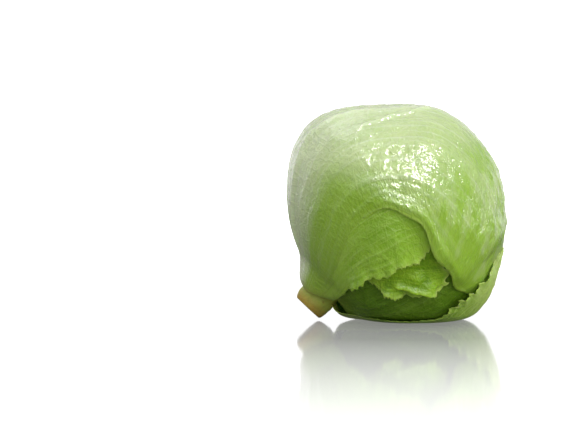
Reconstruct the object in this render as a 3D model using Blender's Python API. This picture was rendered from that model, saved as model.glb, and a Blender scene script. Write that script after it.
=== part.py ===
"""A head of iceberg lettuce, trimmed at the butt, lying on its side.

The head is a ball of leaves that all spring from one stem. The stem points to lower left, so
the head's top points to upper right. Every leaf is a thin shell that lies round the ball, and
the leaves are stacked from the outside inwards: each one lies under those named before it.

A place on the head is given by two angles: how far it is from the stem, 0 at the stem and 180
at the head's top, and how far round it is, 0 on the upper left, 90 at the front, 180 on the
underside and 270 at the back.
"""

import math
from dataclasses import dataclass

import bmesh
import bpy
import numpy as np

MM = 0.001

# The head's form
CENTRE = np.array([0.8, -0.5, 75.0]) * MM
# The reach from the centre to the outline seen from the front, by the angle above +X
OUTLINE = (
    (0, 73.0), (25, 73.5), (45, 73.5), (68, 75.0), (92, 72.4), (104, 74.2), (117, 79.0),
    (133, 85.0), (150, 83.3), (170, 77.5), (195, 74.0), (225, 77.0), (247, 83.0),
    (275, 88.0), (300, 90.0), (316, 86.0), (330, 79.8), (346, 76.8),
)
HALF_DEPTH = 82 * MM
FLOOR_BLEND = 8 * MM
# A direction meets the ground where it points at least this much down
LEAST_DOWN = 0.05
# The leaf bases climb up the stem on the side that faces CLIMB_SIDE
CLIMB = 11 * MM
CLIMB_REACH = (8, 26)
CLIMB_SIDE = 50
# The head stands on three low spots, so its pressed underside is this far above the ground
FOOT_HEIGHT = 0.2 * MM
FEET = ((20 * MM, 12 * MM), (-20 * MM, 12 * MM), (0, -24 * MM))

# The stem
STEM_ANGLE = 227
STEM_TURN = 2.5
STEM_INNER_REACH = 44 * MM
STEM_CUT_REACH = 91.5 * MM
STEM_CUT_RADIUS = 10.9 * MM
STEM_NECK_REACH = 79 * MM
STEM_NECK_RADIUS = 10.7 * MM
STEM_TIP_RADIUS = 5.0 * MM
STEM_BEVEL = 1.0 * MM
STEM_SIDES = 24

# The leaves
BLADE = 0.9 * MM
BLADE_AT_BASE = 1.6 * MM
GAP = 0.8 * MM
BASE_ANGLE = 8.8
STEP = (8 * MM, 20 * MM)
FREE = (4 * MM, 14 * MM)
TIP_SCALLOPS = 2.5
FRILL_REACH = 9 * MM
FRILL_WAVE = 27 * MM
FRILL_SLOW_WAVE = 61 * MM
FLOOR_CLEAR = (3 * MM, 15 * MM)
RIB_SPACING = 0.25
RIB_WIDTH = 0.07
EDGE_SAMPLES = 150
BLADE_SAMPLES = 61
CHUNK = 4096

# The heart, the dense ball of inner leaves
HEART_GAP = 0.6 * MM
HEART_PLEATS = 13
HEART_PLEAT_DEPTH = 2.2 * MM
HEART_SEGMENTS = 40
HEART_RINGS = 22
SOCKET_ANGLE = 9.0
SOCKET_REACH = 42 * MM

# The finishes
LEAF_ROUGHNESS = 0.4
HEART_COLOUR = (0.60, 0.66, 0.30)
HEART_ROUGHNESS = 0.5
STEM_COLOUR = (0.28, 0.27, 0.08)
STEM_ROUGHNESS = 0.55


@dataclass
class Leaf:
    """One leaf. rows cross it from its base to its tip, each as three places: on the one
    edge, on the midrib and on the other edge. A place is (from the stem, round the head)."""

    name: str
    rows: tuple
    cells: tuple
    colour: tuple
    lift: float = 0.0
    wave: float = 0.0
    crumple: float = 0.0
    scallops: float = 4.0
    scallop: float = 0.0
    rib: float = 1.6 * MM
    midrib: float = 3.0 * MM
    waves_from: tuple = (20, 45)
    calm_from: tuple = (180, 181)
    phase: float = 0.0


@dataclass
class Hollow:
    """A place where leaves lie deeper, each by its own depth, under a leaf that stands away."""

    place: tuple
    radius: float
    depths: dict


# From the outermost leaf to the innermost
LEAVES = (
    Leaf(
        name="under_leaf", cells=(16, 26), colour=(0.30, 0.44, 0.10),
        lift=0.4 * MM, wave=3.0 * MM, crumple=0.8 * MM, scallops=4.0, scallop=0.04, phase=0.4,
        calm_from=(90, 104),
        rows=(
            ((BASE_ANGLE, 146), (BASE_ANGLE, 184), (BASE_ANGLE, 226)),
            ((22, 142), (25, 184), (25, 230)),
            ((40, 136), (45, 184), (45, 232)),
            ((57, 142), (62, 184), (65, 232)),
            ((66, 147), (74, 185), (78, 230)),
            ((74, 140), (85, 186), (88, 228)),
            ((86, 145), (98, 184), (98, 222)),
            ((98, 150), (110, 182), (106, 212)),
            ((108, 158), (116, 181), (112, 200)),
        ),
    ),
    Leaf(
        name="cover_leaf", cells=(24, 46), colour=(0.40, 0.53, 0.19),
        lift=1.2 * MM, wave=1.6 * MM, crumple=1.0 * MM, scallops=6.0, scallop=0.015, phase=1.9,
        rib=1.0 * MM, midrib=2.4 * MM, waves_from=(74, 94),
        rows=(
            ((BASE_ANGLE, 95), (BASE_ANGLE, 22), (BASE_ANGLE, -35)),
            ((30, 88), (30, 22), (30, -34)),
            ((55, 80), (60, 22), (60, -32)),
            ((76, 77), (88, 22), (90, -32)),
            ((87, 85), (112, 24), (114, -40)),
            ((89, 98), (138, 30), (134, -58)),
            ((85, 112), (158, 60), (148, -85)),
            ((82, 124), (156, 125), (150, -125)),
            ((81, 136), (136, 156), (134, -148)),
            ((82, 148), (114, 168), (116, -160)),
            ((85, 160), (94, 178), (101, -166)),
        ),
    ),
    Leaf(
        name="back_low_leaf", cells=(16, 26), colour=(0.33, 0.46, 0.12),
        lift=1.0 * MM, wave=4.0 * MM, crumple=1.2 * MM, scallops=4.0, scallop=0.06, phase=3.1,
        rows=(
            ((BASE_ANGLE, 290), (BASE_ANGLE, 243), (BASE_ANGLE, 198)),
            ((30, 288), (30, 243), (30, 200)),
            ((60, 287), (60, 243), (60, 202)),
            ((90, 285), (90, 243), (90, 203)),
            ((115, 280), (116, 243), (112, 203)),
            ((138, 270), (140, 242), (132, 206)),
            ((150, 262), (154, 240), (147, 216)),
        ),
    ),
    Leaf(
        name="front_leaf", cells=(16, 26), colour=(0.20, 0.33, 0.05),
        lift=1.4 * MM, wave=3.4 * MM, crumple=0.6 * MM, scallops=5.0, scallop=0.02, phase=0.9,
        rib=1.2 * MM, midrib=1.8 * MM,
        rows=(
            ((BASE_ANGLE, 122), (BASE_ANGLE, 62), (BASE_ANGLE, 0)),
            ((18, 112), (22, 64), (22, 2)),
            ((30, 103), (38, 60), (40, 6)),
            ((43, 99), (54, 60), (58, 12)),
            ((55, 101), (66, 60), (72, 18)),
            ((64, 105), (77, 62), (84, 25)),
            ((72, 108), (88, 66), (94, 34)),
            ((81, 111), (98, 74), (102, 46)),
            ((90, 110), (102, 88), (105, 64)),
        ),
    ),
    Leaf(
        name="back_top_leaf", cells=(16, 26), colour=(0.36, 0.49, 0.15),
        lift=0.8 * MM, wave=3.4 * MM, crumple=1.2 * MM, scallops=4.0, scallop=0.06, phase=5.2,
        rows=(
            ((BASE_ANGLE, 355), (BASE_ANGLE, 305), (BASE_ANGLE, 252)),
            ((30, 352), (30, 305), (30, 256)),
            ((60, 352), (60, 305), (60, 258)),
            ((90, 354), (90, 306), (92, 258)),
            ((118, 354), (118, 306), (118, 260)),
            ((140, 350), (142, 306), (138, 260)),
            ((156, 345), (158, 303), (152, 256)),
            ((166, 335), (170, 296), (162, 250)),
        ),
    ),
    Leaf(
        name="flap_leaf", cells=(16, 24), colour=(0.24, 0.38, 0.05),
        lift=1.5 * MM, wave=3.4 * MM, crumple=2.4 * MM, scallops=4.0, scallop=0.03, phase=2.2,
        rows=(
            ((BASE_ANGLE, 116), (BASE_ANGLE, 84), (BASE_ANGLE, 50)),
            ((20, 106), (20, 78), (20, 52)),
            ((34, 97), (35, 76), (35, 56)),
            ((47, 96), (48, 76), (48, 58)),
            ((52, 103), (58, 81), (60, 62)),
            ((54, 112), (66, 88), (72, 66)),
            ((60, 118), (74, 97), (84, 72)),
            ((69, 127), (82, 108), (93, 84)),
            ((80, 131), (89, 117), (98, 98)),
        ),
    ),
    Leaf(
        name="bottom_leaf", cells=(16, 16), colour=(0.12, 0.22, 0.03),
        rib=0.5 * MM, midrib=1.0 * MM,
        rows=(
            ((BASE_ANGLE, 184), (BASE_ANGLE, 138), (BASE_ANGLE, 92)),
            ((25, 180), (25, 134), (25, 86)),
            ((45, 174), (45, 132), (45, 84)),
            ((66, 172), (64, 133), (62, 90)),
            ((86, 168), (82, 134), (78, 98)),
            ((98, 158), (96, 136), (92, 112)),
            ((104, 148), (106, 134), (102, 122)),
        ),
    ),
)

HOLLOWS = (
    Hollow(
        (78, 112), 34 * MM,
        {"front_leaf": 3.5 * MM, "flap_leaf": 3.5 * MM, "bottom_leaf": 3.5 * MM},
    ),
    Hollow((62, 122), 34 * MM, {"flap_leaf": 1.8 * MM, "bottom_leaf": 4.5 * MM}),
)


def unit(vectors):
    """The vectors, each made one long."""
    return vectors / np.linalg.norm(vectors, axis=-1, keepdims=True)


STEM_AXIS = unit(np.array([
    math.cos(math.radians(STEM_ANGLE)),
    -math.sin(math.radians(STEM_TURN)),
    math.sin(math.radians(STEM_ANGLE)),
]))
FRONT = unit(np.array([0.0, -1.0, 0.0]) + STEM_AXIS[1] * STEM_AXIS)
UPPER_LEFT = np.cross(STEM_AXIS, FRONT)


def direction(from_stem, round_head):
    """The unit vector from the centre to a place given by its two angles in degrees."""
    far, turn = np.radians(from_stem), np.radians(round_head)
    sideways = (
        np.cos(turn)[..., None] * UPPER_LEFT + np.sin(turn)[..., None] * FRONT
    )
    return np.cos(far)[..., None] * STEM_AXIS + np.sin(far)[..., None] * sideways


def from_stem(way):
    """The angle of each direction from the stem, in degrees."""
    return np.degrees(np.arccos(np.clip(way @ STEM_AXIS, -1, 1)))


def smooth_through(knots, values, at):
    """A smooth curve through values at the knots, read at the places at."""
    slopes = np.diff(values, axis=0) / np.diff(knots)[:, None]
    before, after = np.diff(knots)[:-1, None], np.diff(knots)[1:, None]
    inner = (slopes[:-1] * after + slopes[1:] * before) / (before + after)
    tangents = np.concatenate([slopes[:1], inner, slopes[-1:]])
    here = np.clip(np.searchsorted(knots, at, side="right") - 1, 0, len(knots) - 2)
    gap = (knots[here + 1] - knots[here])[:, None]
    t = (at - knots[here])[:, None] / gap
    return (
        (2 * t**3 - 3 * t**2 + 1) * values[here]
        + (t**3 - 2 * t**2 + t) * gap * tangents[here]
        + (3 * t**2 - 2 * t**3) * values[here + 1]
        + (t**3 - t**2) * gap * tangents[here + 1]
    )


def ease(value, low, high):
    """0 below low, 1 above high, and a smooth rise between."""
    t = np.clip((value - low) / (high - low), 0, 1)
    return t * t * (3 - 2 * t)


def climb(way):
    """How much further out the leaf bases reach, where they climb up the stem."""
    turn = np.degrees(np.arctan2(way @ FRONT, way @ UPPER_LEFT))
    facing = 0.5 + 0.5 * np.cos(np.radians(turn - CLIMB_SIDE))
    return CLIMB * facing * (1 - ease(from_stem(way), *CLIMB_REACH))


def head_radius(way):
    """How far the head's outside is from its centre, in the directions given."""
    around = np.array(OUTLINE, float)
    around = np.concatenate([around[-2:] - (360, 0), around, around[:2] + (360, 0)])
    angle = np.degrees(np.arctan2(way[:, 2], way[:, 0])) % 360
    in_view = smooth_through(around[:, 0], around[:, 1:], angle)[:, 0] * MM
    flat = way[:, 0] ** 2 + way[:, 2] ** 2
    free = 1 / np.sqrt(flat / in_view**2 + way[:, 1] ** 2 / HALF_DEPTH**2)
    down = np.maximum(-way[:, 2], LEAST_DOWN)
    floor = np.where(way[:, 2] < -LEAST_DOWN, (CENTRE[2] - FOOT_HEIGHT) / down, 1.0)
    near = np.maximum(FLOOR_BLEND - np.abs(free - floor), 0) / FLOOR_BLEND
    return np.minimum(free, floor) - near**2 * FLOOR_BLEND / 4 + climb(way)


def lay(rows, across, along):
    """The directions of points on a blade: across runs from -1 to 1, and along from 0 to 1."""
    rows = np.array(rows, float)
    knots = direction(rows[..., 0], rows[..., 1])
    steps = np.linalg.norm(np.diff(knots, axis=0), axis=-1).mean(axis=1)
    length = np.concatenate([[0], np.cumsum(steps)])
    where = smooth_through(length / length[-1], knots.reshape(len(rows), 9), along)
    left, middle, right = (unit(where[:, i:i + 3]) for i in (0, 3, 6))

    def from_middle(edge):
        cosine = np.clip(np.sum(edge * middle, axis=1), -1, 1)[:, None]
        return unit(edge - cosine * middle) * np.arccos(cosine)

    left, right = from_middle(left), from_middle(right)
    share = across[:, None]
    offset = share * (right - left) / 2 + share**2 * (right + left) / 2
    angle = np.maximum(np.linalg.norm(offset, axis=1, keepdims=True), 1e-9)
    return np.cos(angle) * middle + np.sin(angle) * offset / angle


def grid_shares(columns, rows):
    """The shares across and along of an even grid on a blade."""
    across, along = np.meshgrid(np.linspace(-1, 1, columns), np.linspace(0, 1, rows))
    return across.ravel(), along.ravel()


def edge_line(leaf):
    """Directions along a leaf's free edge: up one side, over the tip and down the other."""
    side, end = np.linspace(0, 1, EDGE_SAMPLES), np.linspace(-1, 1, EDGE_SAMPLES)
    across = np.concatenate([-np.ones(EDGE_SAMPLES), end, np.ones(EDGE_SAMPLES)])
    along = np.concatenate([side, np.ones(EDGE_SAMPLES), side[::-1]])
    return lay(leaf.rows, across, along)


EDGES = {leaf.name: edge_line(leaf) for leaf in LEAVES}
BLADES = {leaf.name: lay(leaf.rows, *grid_shares(BLADE_SAMPLES, BLADE_SAMPLES)) for leaf in LEAVES}


def nearest(way, line):
    """How far each direction is from the nearest of a set, along the head, and which it is."""
    distance, which = np.zeros(len(way)), np.zeros(len(way), int)
    for start in range(0, len(way), CHUNK):
        closeness = way[start:start + CHUNK] @ line.T
        which[start:start + CHUNK] = closeness.argmax(axis=1)
        closest = np.clip(closeness.max(axis=1), -1, 1)
        distance[start:start + CHUNK] = np.arccos(closest) * HALF_DEPTH
    return distance, which


def thickness(way):
    """A blade's thickness, which grows towards its base."""
    return BLADE + (BLADE_AT_BASE - BLADE) * np.exp(-(from_stem(way) - BASE_ANGLE) / 20)


def depth(way, count):
    """How deep the outside of leaf number count lies, and how free it is of leaves over it."""
    deep, free = np.zeros(len(way)), np.ones(len(way))
    for leaf in LEAVES[:count]:
        beyond, _ = nearest(way, BLADES[leaf.name])
        deep += (1 - ease(beyond, *STEP)) * (thickness(way) + GAP)
        free *= ease(beyond, *FREE)
    return deep, free


def hollow(way, name):
    """How much deeper the named leaf lies in its hollows."""
    deeper = np.zeros(len(way))
    for spot in HOLLOWS:
        centre = direction(*np.array(spot.place, float))
        away = np.arccos(np.clip(way @ centre, -1, 1)) * HALF_DEPTH
        deeper += spot.depths.get(name, 0) * np.maximum(1 - (away / spot.radius) ** 2, 0) ** 2
    return deeper


def scalloped(leaf, across, along):
    """The shares moved in and out near the edge, so that the leaf's outline is scalloped."""
    turn = math.tau * leaf.scallops * along + leaf.phase
    side = np.abs(across) ** 5 * np.sin(turn + 0.5 * np.sin(turn / 3)) * ease(along, 0.15, 0.3)
    end = along**7 * (0.5 + 0.5 * np.sin(math.tau * TIP_SCALLOPS * across + leaf.phase))
    return across * (1 + leaf.scallop * side), along * (1 - leaf.scallop * end)


def crumples(leaf, across, along):
    """Broad puckers of the blade, over and under its own level."""
    wide = np.sin(7 * across + 5 * along + leaf.phase) * np.sin(17 * along - 2 * across)
    fine = np.sin(11 * across - 9 * along) * np.sin(23 * along + 6 * across + leaf.phase)
    return leaf.crumple * (0.6 * wide + 0.4 * fine) * ease(along, 0.15, 0.5)


def frill(leaf, way):
    """How far the leaf's edge stands out from the head, in waves that fade into the blade."""
    line = EDGES[leaf.name]
    inside, which = nearest(way, line)
    steps = np.linalg.norm(np.diff(line, axis=0), axis=1)
    along = (np.concatenate([[0], np.cumsum(steps)]) * HALF_DEPTH)[which]
    far = from_stem(way)
    edge = np.exp(-inside / FRILL_REACH) * ease(far, *leaf.waves_from)
    edge *= 1 - 0.9 * ease(far, *leaf.calm_from)
    quick = np.sin(math.tau * along / FRILL_WAVE + leaf.phase)
    slow = np.sin(math.tau * along / FRILL_SLOW_WAVE + 2.3 * leaf.phase)
    return edge * (leaf.lift + leaf.wave * (0.5 + 0.5 * quick) * (0.65 + 0.35 * slow))


def ribs(leaf, across, along):
    """The midrib and the ribs that fan out beside it from the stem, fading along the leaf."""
    lane = np.round(across / RIB_SPACING)
    ridge = np.exp(-(((across - RIB_SPACING * lane) / RIB_WIDTH) ** 2))
    height = np.where(lane == 0, leaf.midrib, leaf.rib)
    on_blade = np.where(np.abs(across) < 1 - RIB_SPACING / 2, 1.0, 0.0)
    return ridge * height * on_blade * ease(along, 0.03, 0.15) * (1 - ease(along, 0.3, 0.95))


def blade_points(number, across, along):
    """The outer and the inner surface of leaf number, at the shares given."""
    leaf = LEAVES[number]
    way = lay(leaf.rows, *scalloped(leaf, across, along))
    deep, free = depth(way, number)
    lowest = head_radius(way) - deep - hollow(way, leaf.name)
    free = free * ease(CENTRE[2] + lowest * way[:, 2], *FLOOR_CLEAR)
    middle = lowest + free * (frill(leaf, way) + np.abs(crumples(leaf, across, along)))
    outer = middle + free * ribs(leaf, across, along)
    inner = middle - thickness(way)
    return CENTRE + way * outer[:, None], CENTRE + way * inner[:, None]


def lower_feet(outer):
    """Lowers the three points of the outermost leaf that the head stands on to the ground."""
    for foot in FEET:
        away = np.linalg.norm(outer - (*foot, FOOT_HEIGHT), axis=1)
        outer[away.argmin(), 2] = 0


def add_object(name, bm, colour, roughness):
    """A scene object with its material, from a finished bmesh."""
    mesh = bpy.data.meshes.new(name)
    bm.to_mesh(mesh)
    bm.free()
    material = bpy.data.materials.new(name)
    material.use_nodes = True
    shader = material.node_tree.nodes["Principled BSDF"]
    shader.inputs["Base Color"].default_value = (*colour, 1)
    shader.inputs["Roughness"].default_value = roughness
    mesh.materials.append(material)
    mesh.shade_smooth()
    made = bpy.data.objects.new(name, mesh)
    bpy.context.scene.collection.objects.link(made)
    return made


def make_leaf(number):
    """A leaf: a grid laid over its part of the head, and a second face under it."""
    leaf = LEAVES[number]
    columns, rows = leaf.cells
    bm = bmesh.new()
    bmesh.ops.create_grid(bm, x_segments=columns, y_segments=rows, size=1)
    flat = np.array([v.co[:2] for v in bm.verts])
    outer, inner = blade_points(number, flat[:, 0], flat[:, 1] / 2 + 0.5)
    if number == 0:
        lower_feet(outer)
    label = bm.verts.layers.int.new("place")
    for index, vert in enumerate(bm.verts):
        vert.co = outer[index]
        vert[label] = index
    bmesh.ops.triangulate(bm, faces=bm.faces, quad_method="BEAUTY")
    grown = bmesh.ops.extrude_face_region(bm, geom=bm.faces, use_keep_orig=True)
    for item in grown["geom"]:
        if isinstance(item, bmesh.types.BMVert):
            item.co = inner[item[label]]
    bmesh.ops.triangulate(bm, faces=bm.faces)
    bmesh.ops.recalc_face_normals(bm, faces=bm.faces)
    return add_object(leaf.name, bm, leaf.colour, LEAF_ROUGHNESS)


def make_heart():
    """The heart: a ball that fills the leaves, pleated, with a socket for the stem."""
    bm = bmesh.new()
    bmesh.ops.create_uvsphere(
        bm, u_segments=HEART_SEGMENTS, v_segments=HEART_RINGS, radius=1
    )
    local = np.array([v.co[:] for v in bm.verts])
    far = np.degrees(np.arccos(np.clip(local[:, 2], -1, 1)))
    turn = np.degrees(np.arctan2(local[:, 1], local[:, 0]))
    ring = 180 / HEART_RINGS
    in_socket = far < 1.5 * ring
    far = np.where(in_socket, np.where(far < 1, 0, SOCKET_ANGLE - 0.2), far)
    far = np.where((far > 1.5 * ring) & (far < 2.5 * ring), SOCKET_ANGLE, far)
    way = direction(far, turn)
    deep, _ = depth(way, len(LEAVES))
    deepest = np.max([hollow(way, leaf.name) for leaf in LEAVES], axis=0)
    pleat = 0.5 + 0.5 * np.cos(np.radians(HEART_PLEATS * turn + 1.5 * far))
    pleat *= ease(far, 15, 50) * (1 - ease(far, 150, 175))
    reach = head_radius(way) - deep - deepest - HEART_GAP - HEART_PLEAT_DEPTH * pleat
    reach = np.where(in_socket, SOCKET_REACH, reach)
    points = CENTRE + way * reach[:, None]
    for index, vert in enumerate(bm.verts):
        vert.co = points[index]
    bmesh.ops.triangulate(bm, faces=bm.faces)
    bmesh.ops.recalc_face_normals(bm, faces=bm.faces)
    return add_object("heart", bm, HEART_COLOUR, HEART_ROUGHNESS)


def make_stem():
    """The stem: turned about its axis, tapering inwards, with a flat cut face."""
    profile = (
        (0, STEM_INNER_REACH),
        (STEM_TIP_RADIUS, STEM_INNER_REACH),
        (STEM_NECK_RADIUS, STEM_NECK_REACH),
        (STEM_CUT_RADIUS, STEM_CUT_REACH - STEM_BEVEL),
        (STEM_CUT_RADIUS - STEM_BEVEL, STEM_CUT_REACH),
        (0, STEM_CUT_REACH),
    )
    bm = bmesh.new()
    line = [
        bm.verts.new(CENTRE + STEM_AXIS * reach + UPPER_LEFT * radius)
        for radius, reach in profile
    ]
    edges = [bm.edges.new(pair) for pair in zip(line, line[1:])]
    bmesh.ops.spin(
        bm, geom=line + edges, cent=CENTRE, axis=STEM_AXIS, angle=math.tau,
        steps=STEM_SIDES, use_merge=True,
    )
    bmesh.ops.remove_doubles(bm, verts=bm.verts, dist=0.01 * MM)
    bmesh.ops.triangulate(bm, faces=bm.faces)
    bmesh.ops.recalc_face_normals(bm, faces=bm.faces)
    return add_object("stem", bm, STEM_COLOUR, STEM_ROUGHNESS)


def main():
    for old in list(bpy.data.objects):
        bpy.data.objects.remove(old)
    for number in range(len(LEAVES)):
        make_leaf(number)
    make_heart()
    make_stem()


main()
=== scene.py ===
# %% [markdown]
# # A head of iceberg lettuce
#
# A lettuce head is a ball of thin leaves that all spring from one short stem. This lesson dresses
# a measured model of one. The model has the right size, and one solid for each outer leaf, but its
# leaves are coarse. Here each leaf is made again over the same form, with ribs, a net of veins,
# puckers between them and a ruffled margin.
#
# The first cell loads the measured model. It stays fixed, and every new piece is placed on it.

# %% Load the measured model
import math
from dataclasses import dataclass

import bmesh
import bpy
import numpy as np
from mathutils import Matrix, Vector, noise


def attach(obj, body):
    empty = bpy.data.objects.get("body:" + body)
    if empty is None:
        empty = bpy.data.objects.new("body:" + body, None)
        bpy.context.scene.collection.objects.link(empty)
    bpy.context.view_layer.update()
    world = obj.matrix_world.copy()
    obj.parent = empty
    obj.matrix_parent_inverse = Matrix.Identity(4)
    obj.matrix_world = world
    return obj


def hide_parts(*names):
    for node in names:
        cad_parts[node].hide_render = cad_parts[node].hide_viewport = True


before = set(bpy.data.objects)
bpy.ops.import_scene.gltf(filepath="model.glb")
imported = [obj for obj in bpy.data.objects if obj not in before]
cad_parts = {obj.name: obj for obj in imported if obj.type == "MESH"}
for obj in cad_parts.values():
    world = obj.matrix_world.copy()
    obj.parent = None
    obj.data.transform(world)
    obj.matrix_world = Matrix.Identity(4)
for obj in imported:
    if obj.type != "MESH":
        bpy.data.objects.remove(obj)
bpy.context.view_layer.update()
print("The measured model has", sorted(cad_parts))

# %% [markdown]
# ## Places on a ball of leaves
#
# Leaves could be placed by x, y and z, but a leaf runs from the stem towards the head's top, so
# two angles say more: how far a place is from the stem, and how far round the head it is. The
# angle round the head is 0 on the upper left, 90 at the front, 180 on the underside and 270 at
# the back.

# %% Turn two angles into a direction
MM = 0.001
CENTRE = np.array([0.8, -0.5, 75.0]) * MM
# The stem's angle in the front view, counted from the right, and its turn towards the viewer
STEM_ANGLE = 227
STEM_TURN = 2.5


def unit(vectors):
    return vectors / np.linalg.norm(vectors, axis=-1, keepdims=True)


STEM_AXIS = unit(np.array([
    math.cos(math.radians(STEM_ANGLE)),
    -math.sin(math.radians(STEM_TURN)),
    math.sin(math.radians(STEM_ANGLE)),
]))
FRONT = unit(np.array([0.0, -1.0, 0.0]) + STEM_AXIS[1] * STEM_AXIS)
UPPER_LEFT = np.cross(STEM_AXIS, FRONT)


def direction(far, turn):
    far, turn = np.radians(far), np.radians(turn)
    sideways = np.cos(turn)[..., None] * UPPER_LEFT + np.sin(turn)[..., None] * FRONT
    return np.cos(far)[..., None] * STEM_AXIS + np.sin(far)[..., None] * sideways


def from_stem(way):
    return np.degrees(np.arccos(np.clip(way @ STEM_AXIS, -1, 1)))


def round_head(way):
    return np.degrees(np.arctan2(way @ FRONT, way @ UPPER_LEFT)) % 360


print("The stem points to", np.round(STEM_AXIS, 2))

# %% [markdown]
# ## The form of the head
#
# The head isn't a true ball: it is pressed flat where it lies, and a little square at its
# shoulders. Its outline is given as a reach for each angle, a smooth curve runs through those
# reaches, and the floor cuts the bottom off with a soft bend.

# %% Find the head's surface
# An angle in the front view, counted from the right, and the head's reach there in mm
OUTLINE = (
    (0, 73.0), (25, 73.5), (45, 73.5), (68, 75.0), (92, 72.4), (104, 74.2), (117, 79.0),
    (133, 85.0), (150, 83.3), (170, 77.5), (195, 74.0), (225, 77.0), (247, 83.0),
    (275, 88.0), (300, 90.0), (316, 86.0), (330, 79.8), (346, 76.8),
)
HALF_DEPTH = 82 * MM
FLOOR_BLEND = 8 * MM
# Close to the stem the leaves climb up on it, most of all on this side of it
CLIMB = 11 * MM
CLIMB_REACH = (8, 26)
CLIMB_SIDE = 50
# The flat underside lies this high over the table
FOOT_HEIGHT = 0.2 * MM
# A direction that slants down less than this counts as one that never meets the floor
LEAST_DOWN = 0.05


def smooth_through(knots, values, at):
    slopes = np.diff(values, axis=0) / np.diff(knots)[:, None]
    before, after = np.diff(knots)[:-1, None], np.diff(knots)[1:, None]
    inner = (slopes[:-1] * after + slopes[1:] * before) / (before + after)
    tangents = np.concatenate([slopes[:1], inner, slopes[-1:]])
    here = np.clip(np.searchsorted(knots, at, side="right") - 1, 0, len(knots) - 2)
    gap = (knots[here + 1] - knots[here])[:, None]
    t = (at - knots[here])[:, None] / gap
    return (
        (2 * t**3 - 3 * t**2 + 1) * values[here]
        + (t**3 - 2 * t**2 + t) * gap * tangents[here]
        + (3 * t**2 - 2 * t**3) * values[here + 1]
        + (t**3 - t**2) * gap * tangents[here + 1]
    )


def ease(value, low, high):
    t = np.clip((value - low) / (high - low), 0, 1)
    return t * t * (3 - 2 * t)


def climb(way):
    facing = 0.5 + 0.5 * np.cos(np.radians(round_head(way) - CLIMB_SIDE))
    return CLIMB * facing * (1 - ease(from_stem(way), *CLIMB_REACH))


def head_radius(way):
    around = np.array(OUTLINE, float)
    around = np.concatenate([around[-2:] - (360, 0), around, around[:2] + (360, 0)])
    angle = np.degrees(np.arctan2(way[:, 2], way[:, 0])) % 360
    in_view = smooth_through(around[:, 0], around[:, 1:], angle)[:, 0] * MM
    flat = way[:, 0] ** 2 + way[:, 2] ** 2
    free = 1 / np.sqrt(flat / in_view**2 + way[:, 1] ** 2 / HALF_DEPTH**2)
    down = np.maximum(-way[:, 2], LEAST_DOWN)
    floor = np.where(way[:, 2] < -LEAST_DOWN, (CENTRE[2] - FOOT_HEIGHT) / down, 1.0)
    near = np.maximum(FLOOR_BLEND - np.abs(free - floor), 0) / FLOOR_BLEND
    return np.minimum(free, floor) - near**2 * FLOOR_BLEND / 4 + climb(way)


print("Reach to the front: %.1f mm" % (head_radius(FRONT[None, :])[0] / MM))

# %% [markdown]
# ## Lay a leaf round the head
#
# A leaf is a strip that starts narrow at the stem and widens. It is described by rows, each with
# three places: on its one edge, on its midrib and on its other edge. A point on the leaf is then
# two shares: across, from -1 at one edge to 1 at the other, and along, from 0 at the base to 1 at
# the tip.

# %% Find points on a leaf
WIDTH_SAMPLES = 60
TINY_ANGLE = 1e-9


def rows_of(leaf_rows, along):
    """The directions of a leaf's left edge, midrib and right edge at each share of its length."""
    rows = np.array(leaf_rows, float)
    knots = direction(rows[..., 0], rows[..., 1])
    steps = np.linalg.norm(np.diff(knots, axis=0), axis=-1).mean(axis=1)
    length = np.concatenate([[0], np.cumsum(steps)])
    where = smooth_through(length / length[-1], knots.reshape(len(rows), 9), along)
    return [unit(where[:, i:i + 3]) for i in (0, 3, 6)]


def lay(leaf_rows, across, along):
    left, middle, right = rows_of(leaf_rows, along)

    def from_middle(edge):
        cosine = np.clip(np.sum(edge * middle, axis=1), -1, 1)[:, None]
        return unit(edge - cosine * middle) * np.arccos(cosine)

    left, right = from_middle(left), from_middle(right)
    share = across[:, None]
    offset = share * (right - left) / 2 + share**2 * (right + left) / 2
    angle = np.maximum(np.linalg.norm(offset, axis=1, keepdims=True), TINY_ANGLE)
    return np.cos(angle) * middle + np.sin(angle) * offset / angle


def half_width(leaf_rows, along):
    steps = np.linspace(0, 1, WIDTH_SAMPLES)
    left, _, right = rows_of(leaf_rows, steps)
    wide = np.arccos(np.clip(np.sum(left * right, axis=1), -1, 1)) * HALF_DEPTH / 2
    return np.interp(along, steps, wide)


# %% [markdown]
# ## The leaves
#
# The rows below are those of the measured model, from the outermost leaf to the innermost. Each
# leaf also has numbers for its margin, its puckers and its colours, because the leaf on top is
# smooth and waxy, and the one in the pocket under it is crumpled.

# %% Describe the leaves
BASE_ANGLE = 8.8


@dataclass
class Leaf:
    name: str
    rows: tuple
    # How many cells its grid has across and along
    cells: tuple
    # The broad waves: their lift and height, the creases, and the scallops of the outline
    lift: float = 0.0
    wave: float = 0.0
    crumple: float = 0.0
    scallops: float = 4.0
    scallop: float = 0.0
    phase: float = 0.0
    # The angles from the stem over which the margin starts to wave, and stops again
    waves_from: tuple = (20, 45)
    calm_from: tuple = (180, 181)
    # The small forms: how far the ribs, puckers, ruffles, teeth and the rolled edge stand out
    rib: float = 1.6 * MM
    midrib: float = 3.0 * MM
    pucker: float = 0.4 * MM
    ruffle: float = 1.0 * MM
    tooth: float = 1.0 * MM
    rolled: float = 0.0
    # A raised fold through these places, each an angle from the stem and one round the head
    fold: tuple = ()
    fold_height: float = 0.0
    fold_width: float = 2.0 * MM
    # How pale the blade is near its midrib, its painted light at the tip and on the crests of its
    # creases, and how waxy it is
    paleness: float = 0.3
    painted_tip_light: float = 0.0
    painted_crest_light: float = 0.0
    coat: float = 0.3


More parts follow.
